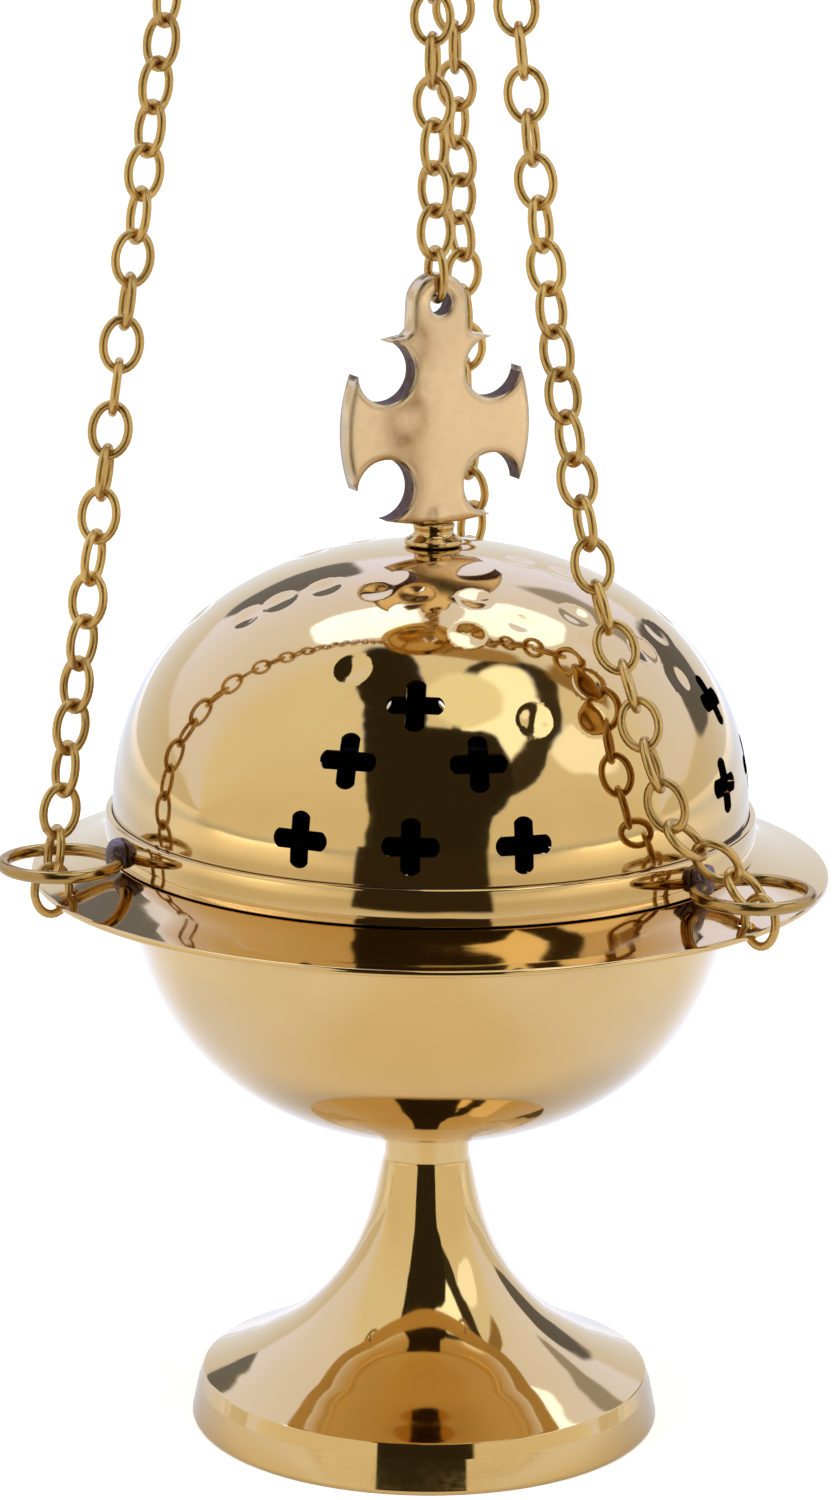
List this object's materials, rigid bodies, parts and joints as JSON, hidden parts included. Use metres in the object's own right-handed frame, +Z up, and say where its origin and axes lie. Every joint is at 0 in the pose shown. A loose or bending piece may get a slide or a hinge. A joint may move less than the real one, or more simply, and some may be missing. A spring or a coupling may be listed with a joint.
{
  "type": "censer",
  "caption": "Hanging church censer of brass: footed bowl with a wide brim, pierced domed lid with a cross finial, outer chains to a hand cap and a lid chain.",
  "frame": {"origin": "middle of the footprint, on the surface that the foot stands on; the vertical axis of the bowl is 1.8 mm to the right of it and 3.8 mm in front of it, because the guide rings stand out to the left and to the back", "axes": "+Z up along the axis of the foot, bowl and lid, front of the censer towards -Y, +X to the right"},
  "size_m": [0.1236, 0.1274, 0.3048],
  "materials": {
    "spun_brass": "polished",
    "cast_brass": "satin",
    "turned_brass": "satin",
    "brass_wire": "polished",
    "dull_brass": "tarnished"
  },
  "bodies": {
    "stand": {"foot": "spun_brass", "bowl": "spun_brass", "foot_bolt": "turned_brass", "foot_nut": "turned_brass", "brim_link_left": "brass_wire", "brim_link_right": "brass_wire", "brim_link_back": "brass_wire", "chain_left": "brass_wire", "chain_right": "brass_wire", "chain_back": "brass_wire", "cap_link_left": "brass_wire", "cap_link_right": "brass_wire", "cap_link_back": "brass_wire", "hand_cap": "spun_brass", "cap_eye": "cast_brass"},
    "lid": {"lid": "spun_brass", "finial_cross": "cast_brass", "finial_collar": "turned_brass", "finial_nut": "turned_brass", "guide_ring_left": "brass_wire", "guide_ring_right": "brass_wire", "guide_ring_back": "brass_wire", "lid_chain": "brass_wire"},
    "fire_pan": {"fire_pan": "dull_brass"},
    "hang_ring": {"hang_ring": "brass_wire"},
    "pull_ring": {"pull_ring": "brass_wire"}
  },
  "joints": [
    {"name": "lid_lift", "type": "slide", "parent": "stand", "child": "lid", "axis": [0, 0, 1], "range_m": [0, 0.015], "deforming": ["chain_right"]},
    {"name": "pan_lift", "type": "slide", "parent": "stand", "child": "fire_pan", "axis": [0, 0, 1], "range_m": [0, 0.025]},
    {"name": "hang_ring_swing", "type": "hinge", "parent": "stand", "child": "hang_ring", "pos_m": [-0.0076, -0.00378, 0.2722], "axis": [0, 1, 0], "range_deg": [-105, 105]},
    {"name": "pull_ring_swing", "type": "hinge", "parent": "lid", "child": "pull_ring", "pos_m": [-0.0008, -0.00378, 0.2717], "axis": [0, 1, 0], "range_deg": [-30, 105]}
  ]
}
